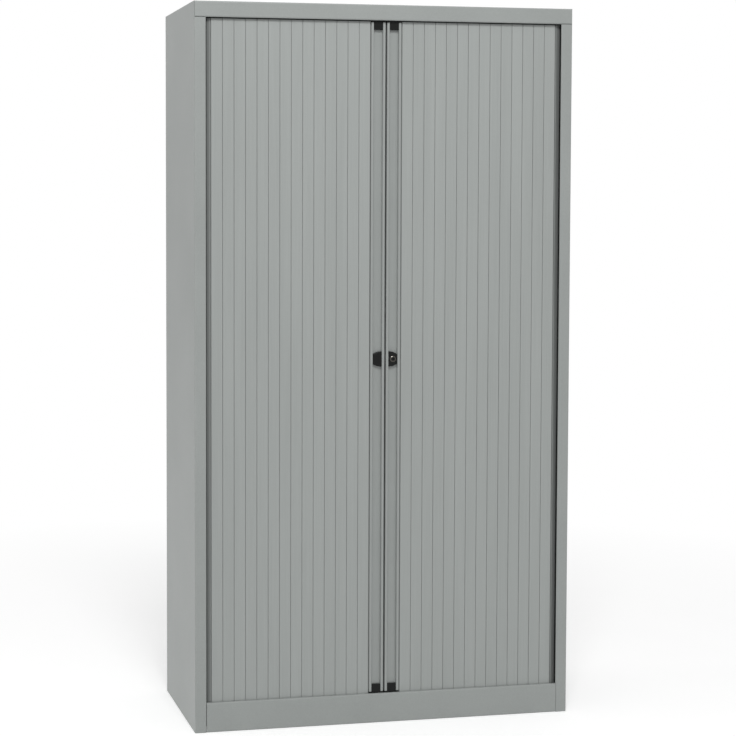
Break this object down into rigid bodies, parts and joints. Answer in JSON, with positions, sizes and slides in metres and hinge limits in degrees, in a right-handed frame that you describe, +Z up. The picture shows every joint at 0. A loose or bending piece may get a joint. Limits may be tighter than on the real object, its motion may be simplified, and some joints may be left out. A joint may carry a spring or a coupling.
{
  "type": "tambour door cabinet",
  "caption": "Tall sheet-steel storage cabinet whose two slatted doors slide apart round the front corners, with shelves inside and a lock on the leading stile.",
  "frame": {"origin": "middle of the footprint, on the floor", "axes": "+Z up, front facing -Y, width along X"},
  "size_m": [1, 0.43, 1.85],
  "materials": {
    "carcass_paint": "grey powder coat, satin",
    "slat_plastic": "extruded grey plastic, satin",
    "stile_finish": "grey coated extrusion, satin",
    "black_plastic": "moulded black plastic",
    "track_plastic": "moulded dark plastic guide",
    "foot_plastic": "moulded black plastic on a steel stud",
    "lock_chrome": "bright plated barrel",
    "cam_zinc": "zinc-plated pressing"
  },
  "bodies": {
    "carcass": {"top_panel": "carcass_paint", "left_side_panel": "carcass_paint", "right_side_panel": "carcass_paint", "back_panel": "carcass_paint", "base_panel": "carcass_paint", "plinth_rail": "carcass_paint", "left_inner_liner": "carcass_paint", "right_inner_liner": "carcass_paint", "left_lower_track": "track_plastic", "right_lower_track": "track_plastic", "left_upper_track": "track_plastic", "right_upper_track": "track_plastic", "shelf_1": "carcass_paint", "shelf_2": "carcass_paint", "shelf_3": "carcass_paint", "shelf_4": "carcass_paint"},
    "left_door": {"left_stile": "stile_finish", "left_stile_upper_cap": "black_plastic", "left_stile_lower_cap": "black_plastic", "left_grip": "black_plastic"},
    "right_door": {"right_stile": "stile_finish", "right_stile_upper_cap": "black_plastic", "right_stile_lower_cap": "black_plastic", "lock_housing": "black_plastic"},
    "lock_plug": {"lock_cylinder": "lock_chrome", "lock_cam": "cam_zinc"},
    "levelling_foot_front_left": {"levelling_foot_front_left": "foot_plastic"},
    "levelling_foot_front_right": {"levelling_foot_front_right": "foot_plastic"},
    "levelling_foot_rear_left": {"levelling_foot_rear_left": "foot_plastic"},
    "levelling_foot_rear_right": {"levelling_foot_rear_right": "foot_plastic"},
    "left_slat_01": {"left_slat_01": "slat_plastic"},
    "left_slat_02": {"left_slat_02": "slat_plastic"},
    "left_slat_03": {"left_slat_03": "slat_plastic"},
    "left_slat_04": {"left_slat_04": "slat_plastic"},
    "left_slat_05": {"left_slat_05": "slat_plastic"},
    "left_slat_06": {"left_slat_06": "slat_plastic"},
    "left_slat_07": {"left_slat_07": "slat_plastic"},
    "left_slat_08": {"left_slat_08": "slat_plastic"},
    "left_slat_09": {"left_slat_09": "slat_plastic"},
    "left_slat_10": {"left_slat_10": "slat_plastic"},
    "left_slat_11": {"left_slat_11": "slat_plastic"},
    "left_slat_12": {"left_slat_12": "slat_plastic"},
    "left_slat_13": {"left_slat_13": "slat_plastic"},
    "left_slat_14": {"left_slat_14": "slat_plastic"},
    "left_corner_slat": {"left_corner_slat": "slat_plastic"},
    "right_slat_01": {"right_slat_01": "slat_plastic"},
    "right_slat_02": {"right_slat_02": "slat_plastic"},
    "right_slat_03": {"right_slat_03": "slat_plastic"},
    "right_slat_04": {"right_slat_04": "slat_plastic"},
    "right_slat_05": {"right_slat_05": "slat_plastic"},
    "right_slat_06": {"right_slat_06": "slat_plastic"},
    "right_slat_07": {"right_slat_07": "slat_plastic"},
    "right_slat_08": {"right_slat_08": "slat_plastic"},
    "right_slat_09": {"right_slat_09": "slat_plastic"},
    "right_slat_10": {"right_slat_10": "slat_plastic"},
    "right_slat_11": {"right_slat_11": "slat_plastic"},
    "right_slat_12": {"right_slat_12": "slat_plastic"},
    "right_slat_13": {"right_slat_13": "slat_plastic"},
    "right_slat_14": {"right_slat_14": "slat_plastic"},
    "right_corner_slat": {"right_corner_slat": "slat_plastic"}
  },
  "joints": [
    {"name": "left_door_slide", "type": "slide", "parent": "carcass", "child": "left_door", "axis": [-1, 0, 0], "range_m": [0, 0.39]},
    {"name": "right_door_slide", "type": "slide", "parent": "carcass", "child": "right_door", "axis": [1, 0, 0], "range_m": [0, 0.39]},
    {"name": "lock_turn", "type": "hinge", "parent": "right_door", "child": "lock_plug", "pos_m": [0.021, -0.194, 0.94535], "axis": [0, -1, 0], "range_deg": [0, 90]},
    {"name": "foot_front_left_adjust", "type": "slide", "parent": "carcass", "child": "levelling_foot_front_left", "axis": [0, 0, -1], "range_m": [0, 0.02]},
    {"name": "foot_front_right_adjust", "type": "slide", "parent": "carcass", "child": "levelling_foot_front_right", "axis": [0, 0, -1], "range_m": [0, 0.02]},
    {"name": "foot_rear_left_adjust", "type": "slide", "parent": "carcass", "child": "levelling_foot_rear_left", "axis": [0, 0, -1], "range_m": [0, 0.02]},
    {"name": "foot_rear_right_adjust", "type": "slide", "parent": "carcass", "child": "levelling_foot_rear_right", "axis": [0, 0, -1], "range_m": [0, 0.02]},
    {"name": "left_slat_01_slide", "type": "slide", "parent": "carcass", "child": "left_slat_01", "axis": [-1, 0, 0], "range_m": [0, 0.39001]},
    {"name": "left_slat_02_slide", "type": "slide", "parent": "carcass", "child": "left_slat_02", "axis": [-1, 0, 0], "range_m": [0, 0.39001], "deforming": ["left_slat_02"]},
    {"name": "left_slat_03_slide", "type": "slide", "parent": "carcass", "child": "left_slat_03", "axis": [-1, 0, 0], "range_m": [0, 0.3643], "deforming": ["left_slat_03"]},
    {"name": "left_slat_04_slide", "type": "slide", "parent": "carcass", "child": "left_slat_04", "axis": [-1, 0, 0], "range_m": [0, 0.33472], "deforming": ["left_slat_04"]},
    {"name": "left_slat_05_slide", "type": "slide", "parent": "carcass", "child": "left_slat_05", "axis": [-1, 0, 0], "range_m": [0, 0.30515], "deforming": ["left_slat_05"]},
    {"name": "left_slat_06_slide", "type": "slide", "parent": "carcass", "child": "left_slat_06", "axis": [-1, 0, 0], "range_m": [0, 0.27558], "deforming": ["left_slat_06"]},
    {"name": "left_slat_07_slide", "type": "slide", "parent": "carcass", "child": "left_slat_07", "axis": [-1, 0, 0], "range_m": [0, 0.24601], "deforming": ["left_slat_07"]},
    {"name": "left_slat_08_slide", "type": "slide", "parent": "carcass", "child": "left_slat_08", "axis": [-1, 0, 0], "range_m": [0, 0.21644], "deforming": ["left_slat_08"]},
    {"name": "left_slat_09_slide", "type": "slide", "parent": "carcass", "child": "left_slat_09", "axis": [-1, 0, 0], "range_m": [0, 0.18687], "deforming": ["left_slat_09"]},
    {"name": "left_slat_10_slide", "type": "slide", "parent": "carcass", "child": "left_slat_10", "axis": [-1, 0, 0], "range_m": [0, 0.1573], "deforming": ["left_slat_10"]},
    {"name": "left_slat_11_slide", "type": "slide", "parent": "carcass", "child": "left_slat_11", "axis": [-1, 0, 0], "range_m": [0, 0.12772], "deforming": ["left_slat_11"]},
    {"name": "left_slat_12_slide", "type": "slide", "parent": "carcass", "child": "left_slat_12", "axis": [-1, 0, 0], "range_m": [0, 0.09815], "deforming": ["left_slat_12"]},
    {"name": "left_slat_13_slide", "type": "slide", "parent": "carcass", "child": "left_slat_13", "axis": [-1, 0, 0], "range_m": [0, 0.06858], "deforming": ["left_slat_13"]},
    {"name": "left_slat_14_slide", "type": "slide", "parent": "carcass", "child": "left_slat_14", "axis": [-1, 0, 0], "range_m": [0, 0.03901], "deforming": ["left_slat_14"]},
    {"name": "left_corner_slat_turn", "type": "hinge", "parent": "carcass", "child": "left_corner_slat", "pos_m": [-0.456, -0.166, 0.95], "axis": [0, 0, -1], "range_deg": [0, 40.85]},
    {"name": "right_slat_01_slide", "type": "slide", "parent": "carcass", "child": "right_slat_01", "axis": [1, 0, 0], "range_m": [0, 0.39001]},
    {"name": "right_slat_02_slide", "type": "slide", "parent": "carcass", "child": "right_slat_02", "axis": [1, 0, 0], "range_m": [0, 0.39001], "deforming": ["right_slat_02"]},
    {"name": "right_slat_03_slide", "type": "slide", "parent": "carcass", "child": "right_slat_03", "axis": [1, 0, 0], "range_m": [0, 0.3643], "deforming": ["right_slat_03"]},
    {"name": "right_slat_04_slide", "type": "slide", "parent": "carcass", "child": "right_slat_04", "axis": [1, 0, 0], "range_m": [0, 0.33472], "deforming": ["right_slat_04"]},
    {"name": "right_slat_05_slide", "type": "slide", "parent": "carcass", "child": "right_slat_05", "axis": [1, 0, 0], "range_m": [0, 0.30515], "deforming": ["right_slat_05"]},
    {"name": "right_slat_06_slide", "type": "slide", "parent": "carcass", "child": "right_slat_06", "axis": [1, 0, 0], "range_m": [0, 0.27558], "deforming": ["right_slat_06"]},
    {"name": "right_slat_07_slide", "type": "slide", "parent": "carcass", "child": "right_slat_07", "axis": [1, 0, 0], "range_m": [0, 0.24601], "deforming": ["right_slat_07"]},
    {"name": "right_slat_08_slide", "type": "slide", "parent": "carcass", "child": "right_slat_08", "axis": [1, 0, 0], "range_m": [0, 0.21644], "deforming": ["right_slat_08"]},
    {"name": "right_slat_09_slide", "type": "slide", "parent": "carcass", "child": "right_slat_09", "axis": [1, 0, 0], "range_m": [0, 0.18687], "deforming": ["right_slat_09"]},
    {"name": "right_slat_10_slide", "type": "slide", "parent": "carcass", "child": "right_slat_10", "axis": [1, 0, 0], "range_m": [0, 0.1573], "deforming": ["right_slat_10"]},
    {"name": "right_slat_11_slide", "type": "slide", "parent": "carcass", "child": "right_slat_11", "axis": [1, 0, 0], "range_m": [0, 0.12772], "deforming": ["right_slat_11"]},
    {"name": "right_slat_12_slide", "type": "slide", "parent": "carcass", "child": "right_slat_12", "axis": [1, 0, 0], "range_m": [0, 0.09815], "deforming": ["right_slat_12"]},
    {"name": "right_slat_13_slide", "type": "slide", "parent": "carcass", "child": "right_slat_13", "axis": [1, 0, 0], "range_m": [0, 0.06858], "deforming": ["right_slat_13"]},
    {"name": "right_slat_14_slide", "type": "slide", "parent": "carcass", "child": "right_slat_14", "axis": [1, 0, 0], "range_m": [0, 0.03901], "deforming": ["right_slat_14"]},
    {"name": "right_corner_slat_turn", "type": "hinge", "parent": "carcass", "child": "right_corner_slat", "pos_m": [0.456, -0.166, 0.95], "axis": [0, 0, 1], "range_deg": [0, 40.85]}
  ],
  "couplings": [
    {"joint": "left_slat_01_slide", "follows": "left_door_slide", "ratio": 1},
    {"joint": "left_slat_02_slide", "follows": "left_door_slide", "ratio": 1},
    {"joint": "left_slat_03_slide", "follows": "left_door_slide", "ratio": 0.93407},
    {"joint": "left_slat_04_slide", "follows": "left_door_slide", "ratio": 0.85824},
    {"joint": "left_slat_05_slide", "follows": "left_door_slide", "ratio": 0.78242},
    {"joint": "left_slat_06_slide", "follows": "left_door_slide", "ratio": 0.70659},
    {"joint": "left_slat_07_slide", "follows": "left_door_slide", "ratio": 0.63077},
    {"joint": "left_slat_08_slide", "follows": "left_door_slide", "ratio": 0.55495},
    {"joint": "left_slat_09_slide", "follows": "left_door_slide", "ratio": 0.47912},
    {"joint": "left_slat_10_slide", "follows": "left_door_slide", "ratio": 0.4033},
    {"joint": "left_slat_11_slide", "follows": "left_door_slide", "ratio": 0.32747},
    {"joint": "left_slat_12_slide", "follows": "left_door_slide", "ratio": 0.25165},
    {"joint": "left_slat_13_slide", "follows": "left_door_slide", "ratio": 0.17582},
    {"joint": "left_slat_14_slide", "follows": "left_door_slide", "ratio": 0.1},
    {"joint": "left_corner_slat_turn", "follows": "left_door_slide", "rad_per_m": 1.8259},
    {"joint": "right_slat_01_slide", "follows": "right_door_slide", "ratio": 1},
    {"joint": "right_slat_02_slide", "follows": "right_door_slide", "ratio": 1},
    {"joint": "right_slat_03_slide", "follows": "right_door_slide", "ratio": 0.93407},
    {"joint": "right_slat_04_slide", "follows": "right_door_slide", "ratio": 0.85824},
    {"joint": "right_slat_05_slide", "follows": "right_door_slide", "ratio": 0.78242},
    {"joint": "right_slat_06_slide", "follows": "right_door_slide", "ratio": 0.70659},
    {"joint": "right_slat_07_slide", "follows": "right_door_slide", "ratio": 0.63077},
    {"joint": "right_slat_08_slide", "follows": "right_door_slide", "ratio": 0.55495},
    {"joint": "right_slat_09_slide", "follows": "right_door_slide", "ratio": 0.47912},
    {"joint": "right_slat_10_slide", "follows": "right_door_slide", "ratio": 0.4033},
    {"joint": "right_slat_11_slide", "follows": "right_door_slide", "ratio": 0.32747},
    {"joint": "right_slat_12_slide", "follows": "right_door_slide", "ratio": 0.25165},
    {"joint": "right_slat_13_slide", "follows": "right_door_slide", "ratio": 0.17582},
    {"joint": "right_slat_14_slide", "follows": "right_door_slide", "ratio": 0.1},
    {"joint": "right_corner_slat_turn", "follows": "right_door_slide", "rad_per_m": 1.8259}
  ]
}
